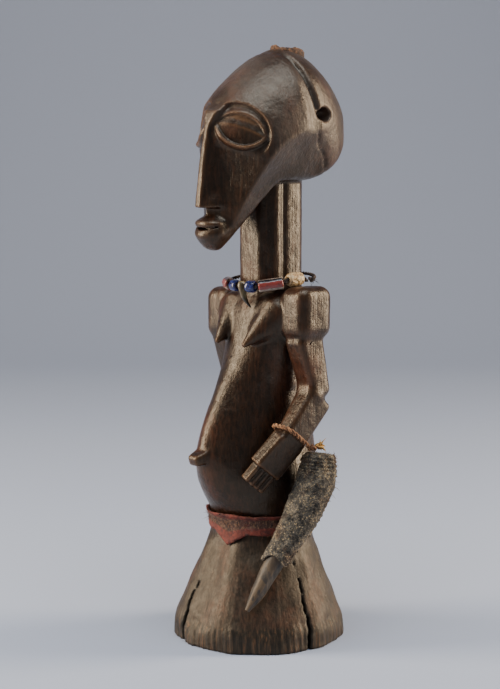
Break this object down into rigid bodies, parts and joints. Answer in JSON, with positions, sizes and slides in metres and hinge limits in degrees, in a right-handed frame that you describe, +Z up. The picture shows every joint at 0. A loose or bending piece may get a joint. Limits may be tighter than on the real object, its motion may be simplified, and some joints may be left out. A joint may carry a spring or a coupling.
{
  "type": "power figure",
  "caption": "Carved wooden standing figure on a flared foot, with a long neck and large head, a bead necklace, a hide belt and a covered horn tied to the left wrist.",
  "frame": {"origin": "centre of the flat underside of the foot", "axes": "+Z up along the neck, the figure faces -Y and its left side is +X"},
  "size_m": [0.0906, 0.0898, 0.2964],
  "materials": {
    "wood": "dark polished carved wood with worn edges",
    "packing": "packed fibre and resin",
    "red_hide": "red stained hide",
    "bare_horn": "smooth dark horn",
    "crusted_hide": "hide with a dry grey crust",
    "fibre": "twisted orange-brown fibre",
    "dark_string": "twisted dark string",
    "claw": "dark claw",
    "brown_glass": "opaque red-brown glass with fine stripes",
    "blue_glass": "opaque deep blue glass",
    "striped_glass": "opaque glass with lengthwise stripes",
    "bone": "cream bone worn to ochre"
  },
  "bodies": {
    "root": {"figure": "wood", "crown_plug": "packing", "waist_belt": "red_hide", "horn": "bare_horn", "horn_cover": "crusted_hide", "wrist_cord": "fibre", "necklace_string": "dark_string", "claw_pendant": "claw", "bead_brown": "brown_glass", "bead_blue_right": "blue_glass", "bead_blue_left": "blue_glass", "bead_striped": "striped_glass", "bead_bone": "bone"}
  },
  "joints": []
}
